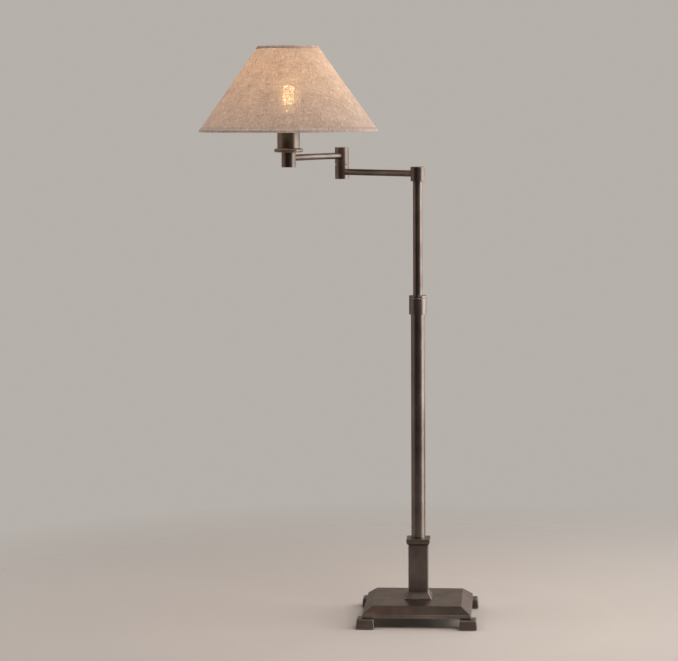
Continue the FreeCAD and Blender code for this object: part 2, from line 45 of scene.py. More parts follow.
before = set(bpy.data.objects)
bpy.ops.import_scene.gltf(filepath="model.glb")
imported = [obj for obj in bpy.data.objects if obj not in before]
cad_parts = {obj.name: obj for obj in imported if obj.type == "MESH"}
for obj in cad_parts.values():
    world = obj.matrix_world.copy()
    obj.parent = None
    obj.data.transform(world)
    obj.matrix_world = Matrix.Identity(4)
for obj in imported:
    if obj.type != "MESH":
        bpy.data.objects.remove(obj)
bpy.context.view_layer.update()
MM = 0.001


# ---- places read from the frame

def middle(node):
    """The centre of a node's box."""
    low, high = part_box(node)
    return (low + high) / 2


def round_node(node):
    """(centre x, centre y, radius, lowest z, highest z) of an upright round node."""
    low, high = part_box(node)
    centre = (low + high) / 2
    return centre.x, centre.y, (high.y - low.y) / 2, low.z, high.z


POST = Vector((0.0, 0.0))
ELBOW = middle("elbow_washer").xy
SOCKET = middle("lamp_holder").xy
FREE_GAP = 0.35 * MM  # between the collar and the tubes inside it
DISC_RADIUS = round_node("post_disc")[2] + 0.05 * MM

# sizes that no node's box gives
FOOT_LEAN = 1.85 * MM  # how much narrower a foot is on each side at its top
FOOT_BEVEL = 2.0 * MM
PAD_RADIUS = 11.0 * MM
PLATE_EDGE = 7.0 * MM  # height of the base plate's upright edge
PLATE_TOP_HALF = 87.5 * MM
PLATE_ROOF = 4.0 * MM  # thickness of the plate's flat top
RECESS_HALF = 99.0 * MM
RECESS_TOP_HALF = 83.0 * MM
ROD_HOLE = 5.0 * MM  # for the tie rod, in the base plate
NECK_WALL = 3.0 * MM
UNDERCUT_HALF = 17.6 * MM
UNDERCUT_RISE = 2.2 * MM
CAP_BEVEL_HALF = 20.6 * MM
CAP_BEVEL_RISE = 6.2 * MM
CAP_HOLE = 9.0 * MM
FLARE_HOLE = 16.0 * MM
FLARE_LIP = 1.2 * MM
LOWER_WALL = 1.7 * MM
UPPER_WALL = 1.5 * MM
GROOVE_BELOW_TOP = 5.0 * MM
GROOVE_HALF = 0.6 * MM
GROOVE_DEPTH = 0.7 * MM
COLLAR_STEP = 7.0 * MM  # from the collar's top to the step in its bore
PIN_HOLE = 6.2 * MM
BARREL_STEP = 4.0 * MM  # how deep the bores in a knuckle's ends are drawn
ROD_END = 10.3 * MM  # from a knuckle's axis to the end of the rod in it
ROD_WALL = 1.5 * MM
CUP_WALL = 1.2 * MM
CUP_HOLE = 5.1 * MM
KNOB_FLUTES = 12
FLUTE_DEPTH = 0.07  # as a part of the knob's radius
BULB_NECK = 13.2 * MM
CONTACT_RADIUS = 5.0 * MM
CONTACT_HEIGHT = 1.3 * MM
THREAD_START = 5.0 * MM
THREAD_DEPTH = 1.1 * MM
THREAD_PITCH = 3.6 * MM
DIFFUSER_RADIUS = 11.0 * MM
DIFFUSER_REACH = 20.0 * MM  # half its length
DIFFUSER_DROP = 12.0 * MM  # its middle, below the middle of the glass's sphere
CUT_EDGE = 0.4 * MM  # the cloth and the liner stop this far inside the tapes' folds
LINER_INSIDE = 1.7 * MM
TAPE_CLEAR = 0.75 * MM  # how far a tape stands off the linen's face
TRIM_WALL = 0.8 * MM  # thickness of the tapes in the frame
TAPE_SHY = 0.05 * MM  # the tapes stay this far within the cover's height
HEM_INSIDE = 4.9 * MM  # the tapes' inner edges, inside the linen's face
TOP_TURN_IN = 5.6 * MM


# ---- materials

def linear(hex_colour):
    """An sRGB hex colour, such as "7b6f68", as linear RGBA."""
    values = [int(hex_colour[i:i + 2], 16) / 255 for i in (0, 2, 4)]
    return tuple(v / 12.92 if v <= 0.04045 else ((v + 0.055) / 1.055) ** 2.4 for v in values) + (1.0,)


def add(material, kind, inputs=None, **settings):
    """Adds a node: settings are its own properties, and inputs maps sockets to values or to outputs."""
    tree = material.node_tree
    node = tree.nodes.new("ShaderNode" + kind)
    for name, value in settings.items():
        setattr(node, name, value)
    for socket, value in (inputs or {}).items():
        if isinstance(value, bpy.types.NodeSocket):
            tree.links.new(value, node.inputs[socket])
        else:
            node.inputs[socket].default_value = value
    return node


def rgba(colour):
    """A property's colour as an opaque socket value."""
    return tuple(colour) + (1.0,)


def new_material(name):
    """An empty node material and its output node."""
    material = bpy.data.materials.new(name)
    material.use_nodes = True
    material.node_tree.nodes.clear()
    return material, add(material, "OutputMaterial")


def finish_with(material, output, shader):
    """Joins the last shader to the output and returns the material."""
    material.node_tree.links.new(shader, output.inputs["Surface"])
    return material


def blended(material, factor, first, second):
    """A colour that goes from first to second as factor goes from 0 to 1."""
    node = add(material, "Mix", {"Factor": factor}, data_type="RGBA")
    for socket, value in ((node.inputs[6], first), (node.inputs[7], second)):
        if isinstance(value, bpy.types.NodeSocket):
            material.node_tree.links.new(value, socket)
        else:
            socket.default_value = value
    return node.outputs[2]


def remapped(material, value, low, high, to_low, to_high):
    """The range low to high stretched to to_low to to_high, and held at its ends."""
    inputs = {"Value": value, "From Min": low, "From Max": high, "To Min": to_low, "To Max": to_high}
    return add(material, "MapRange", inputs).outputs["Result"]


def grains(material, vector, spacing):
    """Noise stretched into grains: spacing is the size of a grain along each axis, in millimetres."""
    scale = tuple(1 / (size * MM) for size in spacing)
    turned = add(material, "Mapping", {"Vector": vector, "Scale": scale}).outputs["Vector"]
    return add(material, "TexNoise", {"Vector": turned, "Scale": 1.0, "Detail": 2.0}).outputs["Fac"]


def bronzed(name, spacing, from_uv, roughness):
    """Bronzed metal under satin lacquer.

    The eye gets a brown-grey metal with a fine grain in one direction, cloudy patina a few centimetres
    across, and paler metal where hands and polishing have worn the edges. The real brush lines are about
    0.1 mm apart, so they are drawn coarser, at the spacing in millimetres that is given.
    """
    look = bpy.context.scene.lamp_finish
    material, output = new_material(name)
    place = add(material, "TexCoord").outputs
    lines = grains(material, place["UV"] if from_uv else place["Object"], spacing)
    patina = grains(material, place["Object"], (38.0, 38.0, 52.0))
    specks = grains(material, place["Object"], (3.0, 3.0, 3.0))
    edge = add(material, "Attribute", attribute_name="edge").outputs["Fac"]
    heavy = remapped(material, patina, 0.34, 0.62, 0.0, 1.0)
    colour = blended(material, heavy, rgba(look.bronze_deep), rgba(look.bronze))
    shade = remapped(material, lines, 0.3, 0.7, 0.92, 1.06)
    colour = add(material, "VectorMath", {0: colour, "Scale": shade}, operation="SCALE").outputs[0]
    rubbed = remapped(material, specks, 0.3, 0.6, 0.25, 0.9)
    wear = add(material, "Math", {0: edge, 1: rubbed}, operation="MULTIPLY").outputs[0]
    colour = blended(material, wear, colour, rgba(look.bronze_worn))
    rough = remapped(material, lines, 0.25, 0.75, roughness - 0.03, roughness + 0.03)
    bump = add(material, "Bump", {"Height": lines, "Strength": 0.08, "Distance": 0.02 * MM})
    shader = add(material, "BsdfPrincipled", {
        "Base Color": colour, "Metallic": 1.0, "Roughness": rough, "Normal": bump.outputs["Normal"],
        "Coat Weight": 0.12, "Coat Roughness": 0.2,
    })
    return finish_with(material, output, shader.outputs[0])


def plain(name, colour, second, spacing, roughness, metallic=0.0, bump=0.05):
    """A plain material with a fine even grain: two close colours, and a surface just off smooth."""
    material, output = new_material(name)
    place = add(material, "TexCoord").outputs["Object"]
    grain = grains(material, place, (spacing, spacing, spacing))
    base = blended(material, remapped(material, grain, 0.3, 0.7, 0.0, 1.0), linear(colour), linear(second))
    rough = remapped(material, grain, 0.3, 0.7, roughness - 0.06, roughness + 0.06)
    height = add(material, "Bump", {"Height": grain, "Strength": 0.3, "Distance": bump * MM})
    shader = add(material, "BsdfPrincipled", {
        "Base Color": base, "Metallic": metallic, "Roughness": rough, "Normal": height.outputs["Normal"],
    })
    return finish_with(material, output, shader.outputs[0])


def woven(material, pitch):
    """(threads, gaps) of a plain weave on a cloth's own UV map in metres.

    Each set of threads is noise drawn out along the thread, so that it thickens and thins as spun linen
    does. Slubs are longer and rarer, flecks are short dark bits of straw, and clouds are where the cloth
    is woven closer. Gaps is high where neither set of threads is thick and the weave is loose.
    """
    flat = add(material, "TexCoord").outputs["UV"]
    warp = grains(material, flat, (pitch, 6 * pitch, 1.0))
    weft = grains(material, flat, (7 * pitch, pitch, 1.0))
    slub_warp = grains(material, flat, (1.3 * pitch, 20 * pitch, 1.0))
    slub_weft = grains(material, flat, (24 * pitch, 1.3 * pitch, 1.0))
    fleck = remapped(material, grains(material, flat, (1.2 * pitch, 2.6 * pitch, 1.0)), 0.64, 0.74, 0.0, 0.4)
    clouds = remapped(material, grains(material, flat, (15 * pitch, 15 * pitch, 1.0)), 0.35, 0.65, 0.0, 0.15)
    fine = add(material, "Math", {0: warp, 1: weft}, operation="ADD").outputs[0]
    slubs = add(material, "Math", {0: slub_warp, 1: slub_weft}, operation="MAXIMUM").outputs[0]
    layers = (remapped(material, slubs, 0.58, 0.74, 0.0, 0.34), fleck, clouds)
    total = remapped(material, fine, 0.78, 1.22, 0.0, 0.6)
    for layer in layers:
        total = add(material, "Math", {0: total, 1: layer}, operation="ADD").outputs[0]
    loose = remapped(material, grains(material, flat, (3 * pitch, 4 * pitch, 1.0)), 0.36, 0.64, 0.1, 1.9)
    thin = remapped(material, fine, 1.04, 0.8, 0.0, 1.0)
    return total, add(material, "Math", {0: thin, 1: loose}, operation="MULTIPLY").outputs[0]


def linen(name, through, gap_share, slubs):
    """Plain-woven natural linen, lit from both sides.

    The eye gets oatmeal threads of uneven thickness with darker slubs and flecks. Light behind it comes
    through the thin threads warmer than it went in, and straight through the gaps, where the bulb itself
    shows. Real threads are 0.4 mm apart, so they are drawn coarser, at the thread pitch, to show. Through
    is the share of light that the threads let through, and slubs is how dark their thick parts are.
    """
    look = bpy.context.scene.lamp_shade
    material, output = new_material(name)
    threads, gaps = woven(material, look.thread_pitch / MM)
    dark = add(material, "Math", {0: threads, 1: slubs}, operation="MULTIPLY").outputs[0]
    front = blended(material, dark, rgba(look.linen), rgba(look.slub))
    behind = blended(material, threads, linear("f3d9b4"), linear("8f6440"))
    bump = add(material, "Bump", {"Height": threads, "Strength": 0.5, "Distance": 0.25 * MM})
    normal = bump.outputs["Normal"]
    cloth = add(material, "BsdfDiffuse", {"Color": front, "Roughness": 0.6, "Normal": normal}).outputs[0]
    glow = add(material, "BsdfTranslucent", {"Color": behind, "Normal": normal}).outputs[0]
    both = add(material, "MixShader", {0: through, 1: cloth, 2: glow}).outputs[0]
    clear = add(material, "BsdfTransparent", {"Color": linear("ffe9c8")}).outputs[0]
    share = add(material, "Math", {0: gaps, 1: gap_share}, operation="MULTIPLY").outputs[0]
    return finish_with(material, output, add(material, "MixShader", {0: share, 1: both, 2: clear}).outputs[0])


def styrene_liner():
    """Thin white styrene sheet, calendered: it scatters light and lets about half of it straight on."""
    material, output = new_material("calendered styrene")
    place = add(material, "TexCoord").outputs["Object"]
    haze = remapped(material, grains(material, place, (9.0, 9.0, 9.0)), 0.3, 0.7, 0.44, 0.52)
    tint = blended(material, haze, linear("fbf6ea"), linear("efe6d2"))
    white = add(material, "BsdfDiffuse", {"Color": tint}).outputs[0]
    glow = add(material, "BsdfTranslucent", {"Color": tint}).outputs[0]
    sheet = add(material, "MixShader", {0: 0.5, 1: white, 2: glow}).outputs[0]
    clear = add(material, "BsdfTransparent").outputs[0]
    return finish_with(material, output, add(material, "MixShader", {0: haze, 1: sheet, 2: clear}).outputs[0])


def glowing(name, colour, strength, spacing):
    """A hot surface that gives its own light, a little uneven from end to end."""
    material, output = new_material(name)
    place = add(material, "TexCoord").outputs["Object"]
    uneven = remapped(material, grains(material, place, (spacing, spacing, spacing)), 0.3, 0.7, 0.8, 1.1)
    tint = add(material, "VectorMath", {0: linear(colour)[:3], "Scale": uneven}, operation="SCALE").outputs[0]
    light = add(material, "Emission", {"Color": tint, "Strength": strength}).outputs[0]
    return finish_with(material, output, light)


def frosted_glass():
    """Soda-lime glass, lightly etched inside: it hazes the diffuser without hiding it."""
    material, output = new_material("etched soda-lime glass")
    place = add(material, "TexCoord").outputs["Object"]
    haze = remapped(material, grains(material, place, (4.0, 4.0, 4.0)), 0.3, 0.7, 0.4, 0.5)
    etched = add(material, "BsdfTranslucent", {"Color": linear("fff1d8")}).outputs[0]
    clear = add(material, "BsdfTransparent", {"Color": linear("fffaf0")}).outputs[0]
    body = add(material, "MixShader", {0: haze, 1: clear, 2: etched}).outputs[0]
    sheen = add(material, "BsdfGlossy", {"Color": linear("ffffff"), "Roughness": 0.08}).outputs[0]
    rim = add(material, "Fresnel", {"IOR": 1.5}).outputs[0]
    return finish_with(material, output, add(material, "MixShader", {0: rim, 1: body, 2: sheen}).outputs[0])


def make_materials():
    """Every finish on the lamp, by the name that the operators use."""
    bulb = bpy.context.scene.lamp_bulb
    return {
        "tube": bronzed("bronzed drawn steel", (1.4, 60.0, 1.0), True, 0.37),
        "turned": bronzed("bronzed turned brass", (30.0, 0.7, 1.0), True, 0.37),
        "cast": bronzed("bronzed cast iron", (22.0, 1.4, 22.0), False, 0.36),
        "linen": linen("natural linen", 0.34, 0.2, 1.0),
        "trim": linen("folded linen tape", 0.4, 0.0, 0.7),
        "styrene": styrene_liner(),
        "glass": frosted_glass(),
        "diffuser": glowing("lit opal diffuser", "ffe5b8", bulb.strength, 8.0),
        "iron": plain("sand-cast iron", "2e2b2a", "3b3735", 1.6, 0.7, 1.0, 0.3),
        "zinc": plain("zinc-plated steel", "9a9a98", "adadab", 1.2, 0.38, 1.0),
        "brass": plain("turned brass", "b08d4a", "c39f58", 0.8, 0.3, 1.0),
        "aluminium": plain("drawn aluminium", "b9b9b6", "cacac8", 0.7, 0.3, 1.0),
        "felt": plain("pressed wool felt", "1b1a1a", "2b2a29", 0.7, 0.95, 0.0, 0.5),
        "rubber": plain("moulded rubber", "121212", "1c1b1b", 1.0, 0.75),
        "acetal": plain("machined acetal", "151312", "1f1c1b", 0.6, 0.45),
        "phenolic": plain("moulded phenolic", "17120f", "241c18", 2.0, 0.35),
        "jacket": plain("extruded cable jacket", "4a3a2c", "574536", 1.0, 0.5),
        "wire": plain("white powder-coated wire", "dedad0", "eceae2", 0.8, 0.5),
    }


FINISHES = {}
ALL_ROUND = np.linspace(0, 2 * np.pi, 361)


# ---- surfaces

def rounded(corners, radius, steps=5):
    """Turns a profile's corners into arcs.

    Each corner P between neighbours A and B starts its bend at S and ends it at E, up to radius away from
    P along each run, and follows (1-s)^2 S + 2s(1-s) P + s^2 E. Returns the points, and beside them a
    weight that is 1 on the middle of a bend and 0 on the flats, for worn edges.
    """
    corners = np.array(corners, float)
    points, wear = [corners[:1]], [np.zeros(1)]
    s = np.linspace(0, 1, steps + 1)[:, None]
    for before, corner, after in zip(corners[:-2], corners[1:-1], corners[2:]):
        back, ahead = before - corner, after - corner
        reach = min(radius, 0.45 * np.linalg.norm(back), 0.45 * np.linalg.norm(ahead))
        start = corner + back / np.linalg.norm(back) * reach
        end = corner + ahead / np.linalg.norm(ahead) * reach
        points.append((1 - s) ** 2 * start + 2 * s * (1 - s) * corner + s ** 2 * end)
        wear.append(np.sin(np.pi * s[:, 0]))
    points.append(corners[-1:])
    wear.append(np.zeros(1))
    return np.concatenate(points), np.concatenate(wear)


def circle(count=96):
    """A round outline, the unit circle (cos a, sin a) from the back and round, with no straight sides."""
    turn = np.linspace(0, 2 * np.pi, count + 1) + np.pi / 2
    round_part = np.stack([np.cos(turn), np.sin(turn)], 1)
    side = np.zeros_like(round_part)
    return {"round": round_part, "side": side, "corner": None, "wear": np.zeros(count + 1)}


def square(corner, steps=5):
    """A square outline with rounded corners, corner in metres: a quarter turn about each corner's centre."""
    quarter = np.linspace(0, np.pi / 2, steps + 1)
    turn = np.concatenate([quarter + k * np.pi / 2 for k in range(4)] + [[2 * np.pi]])
    signs = np.repeat([[1, 1], [-1, 1], [-1, -1], [1, -1]], steps + 1, 0)
    side = np.concatenate([signs, signs[:1]]).astype(float)
    wear = np.concatenate([np.sin(2 * quarter)] * 4 + [[0.0]])
    return {"round": np.stack([np.cos(turn), np.sin(turn)], 1), "side": side, "corner": corner, "wear": wear}


def carried(profile, outline, wear=None):
    """A profile of (half width, height) points carried round an outline.

    On a circle the point is half width times the unit circle. On a square it is the corner's centre, half
    width less the corner radius out both ways, plus the corner radius times the unit circle. UVs are
    metres round the widest place and metres along the profile.
    """
    profile = np.asarray(profile, float)
    half, height = profile[:, 0], profile[:, 1]
    corner = half if outline["corner"] is None else np.minimum(outline["corner"], half)
    flat = (half - corner)[:, None, None] * outline["side"] + corner[:, None, None] * outline["round"]
    grid = np.concatenate([flat, np.broadcast_to(height[:, None, None], flat.shape[:2] + (1,))], 2)
    widest = flat[half.argmax()]
    around = np.concatenate([[0], np.cumsum(np.linalg.norm(np.diff(widest, axis=0), axis=1))])
    along = np.concatenate([[0], np.cumsum(np.linalg.norm(np.diff(profile, axis=0), axis=1))])
    uv = np.stack(np.broadcast_arrays(around[None, :], along[:, None]), 2)
    rows = np.zeros(len(profile)) if wear is None else wear
    steep = np.clip(2 * np.abs(np.gradient(height)) / np.maximum(np.gradient(along), 1e-9), 0, 1)
    edge = np.maximum(rows[:, None], steep[:, None] * outline["wear"][None, :])
    return {"grid": grid, "uv": uv, "edge": edge}


def moved(patch, x, y):
    """Shifts an upright patch sideways."""
    patch["grid"] = patch["grid"] + np.array([x, y, 0.0])
    return patch


def pointed(patch, start, direction):
    """Turns an upright patch so that its height runs from start along direction."""
    ahead = np.array(direction, float) / np.linalg.norm(direction)
    side = np.cross([0.0, 0.0, 1.0], ahead)
    side = side / np.linalg.norm(side)
    basis = np.stack([side, np.cross(ahead, side), ahead])
    patch["grid"] = patch["grid"] @ basis + np.array(start)
    return patch


def grid_faces(patch, first=0):
    """The corners of every face of a patch's grid, numbered from first, in rows of four."""
    rows, columns = patch["grid"].shape[:2]
    index = first + np.arange(rows * columns).reshape(rows, columns)
    quads = [index[:-1, :-1], index[:-1, 1:], index[1:, 1:], index[1:, :-1]]
    return np.stack(quads, 2).reshape(-1, 4)


def placed(name, data):
    """A new object of the data, in the scene."""
    thing = bpy.data.objects.new(name, data)
    bpy.context.scene.collection.objects.link(thing)
    return thing


def piece(name, patches, finish, body, stands_for=(), flat_sides=True):
    """Makes one object of the patches, joins its seams and poles, hangs it on its body and hides the nodes it
    stands for.
    """
    points, uvs, edges, faces, first = [], [], [], [], 0
    for patch in patches:
        faces.append(grid_faces(patch, first))
        points.append(patch["grid"].reshape(-1, 3))
        uvs.append(patch["uv"].reshape(-1, 2))
        edges.append(patch["edge"].ravel())
        first += patch["edge"].size
    points, uvs, edges = np.concatenate(points), np.concatenate(uvs), np.concatenate(edges)
    faces = np.concatenate(faces)
    mesh = bpy.data.meshes.new(name)
    mesh.from_pydata(points.tolist(), [], faces.tolist())
    mesh.uv_layers.new(name="surface").uv.foreach_set("vector", uvs[faces.ravel()].ravel())
    mesh.attributes.new("edge", "FLOAT", "POINT").data.foreach_set("value", edges.astype(np.float32))
    work = bmesh.new()
    work.from_mesh(mesh)
    bmesh.ops.remove_doubles(work, verts=work.verts, dist=2e-6)
    bmesh.ops.recalc_face_normals(work, faces=work.faces)
    work.to_mesh(mesh)
    work.free()
    mesh.shade_smooth()
    mesh.set_sharp_from_angle(angle=math.radians(38))
    mesh.materials.append(FINISHES[finish])
    thing = placed(name, mesh)
    if flat_sides:
        thing.modifiers.new("even flats", "WEIGHTED_NORMAL").keep_sharp = True
    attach(thing, body)
    if stands_for:
        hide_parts(*stands_for)
    return thing


def turned(corners, radius, outline=None, x=0.0, y=0.0):
    """The patch of a turned or square form from its profile's corners, with its edges rounded."""
    profile, wear = rounded(corners, radius)
    return moved(carried(profile, outline or circle(), wear), x, y)


def hollow(outer, inner, low, high):
    """The closed profile of a tube, from inside its bottom edge and round."""
    seam = (inner, (low + high) / 2)
    return [seam, (inner, low), (outer, low), (outer, high), (inner, high), seam]


# ---- sizes that a user would change

class LampFinish(bpy.types.PropertyGroup):
    """Colours of the bronzed metal."""

    bronze: bpy.props.FloatVectorProperty(
        name="Bronze", description="Usual colour of the bronzed metal", subtype="COLOR", size=3,
        default=linear("7d746e")[:3], min=0, max=1)
    bronze_deep: bpy.props.FloatVectorProperty(
        name="Deep bronze", description="Colour where the patina is heavy", subtype="COLOR", size=3,
        default=linear("695e59")[:3], min=0, max=1)
    bronze_worn: bpy.props.FloatVectorProperty(
        name="Worn edge", description="Colour of the metal on rubbed edges", subtype="COLOR", size=3,
        default=linear("a0958f")[:3], min=0, max=1)
    edge_radius: bpy.props.FloatProperty(
        name="Edge radius", description="Radius on the edges of turned pieces", default=0.7 * MM,
        unit="LENGTH")
    plate_edge_radius: bpy.props.FloatProperty(
        name="Base edge radius", description="Radius on the edges of castings", default=1.1 * MM,
        unit="LENGTH")


class LampShade(bpy.types.PropertyGroup):
    """Sizes of the shade's cloth."""

    linen: bpy.props.FloatVectorProperty(
        name="Linen", description="Colour of the thin threads", subtype="COLOR", size=3,
        default=linear("efe3da")[:3], min=0, max=1)
    slub: bpy.props.FloatVectorProperty(
        name="Slub", description="Colour of the thickest threads", subtype="COLOR", size=3,
        default=linear("a38f80")[:3], min=0, max=1)
    thread_pitch: bpy.props.FloatProperty(
        name="Thread pitch", description="Distance between drawn threads", default=1.7 * MM, unit="LENGTH")
    fold: bpy.props.FloatProperty(
        name="Tape thickness", description="Thickness of the folded edge tape", default=0.7 * MM,
        unit="LENGTH")
    lap: bpy.props.FloatProperty(
        name="Lap width", description="Width of the lapped seam", default=9 * MM, unit="LENGTH")


class LampBulb(bpy.types.PropertyGroup):
    """The bulb's light."""

    strength: bpy.props.FloatProperty(
        name="Diffuser strength", description="Brightness of the lit diffuser", default=36.0, min=0)


class LampStage(bpy.types.PropertyGroup):
    """The studio: camera and lights."""

    lens: bpy.props.FloatProperty(name="Lens", description="Focal length in millimetres", default=124.72)
    place: bpy.props.FloatVectorProperty(
        name="Camera place", description="Where the camera stands", default=(0.1832, -4.63, 1.0196),
        subtype="TRANSLATION")
    turn: bpy.props.FloatVectorProperty(
        name="Camera turn", description="Yaw, pitch and roll", subtype="EULER",
        default=tuple(math.radians(a) for a in (-4.201, -5.444, -0.303)))
    key: bpy.props.FloatProperty(
        name="Key light", description="Power of the soft key in watts", default=44.0)
    fill: bpy.props.FloatProperty(
        name="Fill light", description="Power of the soft fill in watts", default=7.0)
    high: bpy.props.FloatProperty(
        name="High light", description="Power of the high soft boxes in watts", default=30.0)
    rim: bpy.props.FloatProperty(
        name="Rim light", description="Power of the soft rim in watts", default=12.0)
    backdrop: bpy.props.FloatVectorProperty(
        name="Backdrop", description="Colour of the backdrop", subtype="COLOR", size=3,
        default=linear("c9c3bc")[:3], min=0, max=1)


# ---- operators

class LAMP_OT_finishes(bpy.types.Operator):
    """Make the materials and put them on the pieces kept from the frame"""

    bl_idname = "lamp.finishes"
    bl_label = "Finishes"

    def execute(self, context):
        FINISHES.update(make_materials())
        kept = {
            "iron": ("ballast",),
            "zinc": ("base_screws", "tie_rod", "tie_rod_nut", "tube_plug", "bottom_cover"),
            "brass": ("collar_seat", "post_nut", "elbow_nut", "socket_nipple", "screw_shell", "switch_key"),
            "cast": ("post_spindle", "elbow_spindle"),
            "rubber": ("cord_grommet",),
            "acetal": ("collet", "guide_bush", "post_washer", "elbow_washer"),
            "phenolic": ("lamp_holder", "shade_ring_nut"),
            "jacket": ("base_lead", "post_lead", "arm_1_lead", "arm_2_lead"),
            "wire": ("shade_fitter", "shade_bottom_ring", "shade_top_ring"),
        }
        for finish, names in kept.items():
            for name in names:
                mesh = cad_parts[name].data
                mesh.materials.clear()
                mesh.materials.append(FINISHES[finish])
        return {"FINISHED"}


class LAMP_OT_base(bpy.types.Operator):
    """Make the feet, their pads and the bevelled base plate"""

    bl_idname = "lamp.base"
    bl_label = "Base"

    def execute(self, context):
        edge = context.scene.lamp_finish.plate_edge_radius
        for side in ("front_left", "front_right", "back_left", "back_right"):
            node = "foot_" + side
            low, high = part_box(node)
            centre = middle(node)
            half = high.x - centre.x
            crown = half - FOOT_LEAN
            corners = [
                (0, low.z), (half, low.z), (crown, high.z - FOOT_BEVEL), (crown - FOOT_BEVEL, high.z),
                (0, high.z),
            ]
            patch = turned(corners, edge, square(1.6 * MM), centre.x, centre.y)
            piece(node + "_cast", [patch], "cast", "base", [node])
        self.pads()
        self.plate(edge)
        return {"FINISHED"}

    def pads(self):
        """A felt disc under each foot."""
        low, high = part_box("floor_pads")
        away = high.x - PAD_RADIUS
        corners = [(0, low.z), (PAD_RADIUS, low.z), (PAD_RADIUS, high.z), (0, high.z)]
        patches = [turned(corners, 0.5 * MM, circle(48), x, y) for x in (-away, away) for y in (-away, away)]
        piece("felt_pads", patches, "felt", "base", ["floor_pads"])

    def plate(self, edge):
        """A square lid: a hollow below, an upright edge and a broad bevel up to the flat top."""
        low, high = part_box("base_plate")
        ceiling, shoulder = high.z - PLATE_ROOF, low.z + PLATE_EDGE
        corners = [
            (ROD_HOLE, ceiling), (RECESS_TOP_HALF, ceiling), (RECESS_HALF, shoulder), (RECESS_HALF, low.z),
            (high.x, low.z), (high.x, shoulder), (PLATE_TOP_HALF, high.z), (ROD_HOLE, high.z),
            (ROD_HOLE, ceiling),
        ]
        piece("base_plate_cast", [turned(corners, edge, square(1.4 * MM))], "cast", "base", ["base_plate"])


class LAMP_OT_neck(bpy.types.Operator):
    """Make the neck's flared foot, its column and its moulded cap"""

    bl_idname = "lamp.neck"
    bl_label = "Neck"

    def execute(self, context):
        edge = context.scene.lamp_finish.edge_radius
        self.flare()
        low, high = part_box("neck_column")
        corners = hollow(high.x, high.x - NECK_WALL, low.z, high.z)
        patch = turned(corners, 0.3 * MM, square(1.0 * MM))
        piece("neck_column_drawn", [patch], "tube", "base", ["neck_column"])
        low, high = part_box("neck_cap")
        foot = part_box("neck_column")[1].z
        undercut, bevel = foot + UNDERCUT_RISE, foot + CAP_BEVEL_RISE
        corners = [
            (CAP_HOLE, foot), (UNDERCUT_HALF, foot), (UNDERCUT_HALF, undercut), (CAP_BEVEL_HALF, undercut),
            (high.x, bevel), (high.x, high.z), (CAP_HOLE, high.z), (CAP_HOLE, foot),
        ]
        patch = turned(corners, edge, square(1.0 * MM))
        piece("neck_cap_cast", [patch], "cast", "base", ["neck_cap"])
        return {"FINISHED"}

    def flare(self):
        """Its side's half width is the column's plus the spread times (1 - share of the way up) ^ 1.2."""
        low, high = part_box("neck_foot")
        top_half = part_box("neck_column")[1].x
        run, rise = high.x - top_half, high.z - low.z - FLARE_LIP
        share = np.linspace(0, 1, 12)
        side = top_half + run * (1 - share) ** 1.2
        curve = np.stack([side, low.z + FLARE_LIP + rise * share], 1)
        start = np.array([[FLARE_HOLE, low.z], [high.x, low.z]])
        end = np.array([[FLARE_HOLE, high.z], [FLARE_HOLE, low.z]])
        profile = np.concatenate([start, curve, end])
        wear = np.zeros(len(profile))
        wear[1:3] = 1.0
        patch = carried(profile, square(0.8 * MM), wear)
        piece("neck_flare_cast", [patch], "cast", "base", ["neck_foot"])


class LAMP_OT_post(bpy.types.Operator):
    """Make the lower tube, the clamp collar and the telescoping upper tube"""

    bl_idname = "lamp.post"
    bl_label = "Post"

    def execute(self, context):
        for node, body, wall in (("lower_tube", "base", LOWER_WALL), ("upper_tube", "mast", UPPER_WALL)):
            x, y, radius, low, high = round_node(node)
            patch = turned(hollow(radius, radius - wall, low, high), 0.35 * MM, circle(128), x, y)
            piece(node + "_drawn", [patch], "tube", body, [node])
        self.collar(context.scene.lamp_finish.edge_radius)
        return {"FINISHED"}

    def collar(self, edge):
        """A stepped ring with one turned groove near its top."""
        x, y, radius, low, high = round_node("collar")
        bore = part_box("upper_tube")[1].x + FREE_GAP
        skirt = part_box("lower_tube")[1].x + FREE_GAP
        groove = high - GROOVE_BELOW_TOP
        step = high - COLLAR_STEP
        corners = [
            (bore, step), (skirt, step), (skirt, low), (radius, low), (radius, groove - GROOVE_HALF),
            (radius - GROOVE_DEPTH, groove), (radius, groove + GROOVE_HALF), (radius, high), (bore, high),
            (bore, step),
        ]
        piece("collar_turned", [turned(corners, edge, circle(128), x, y)], "turned", "collar", ["collar"])


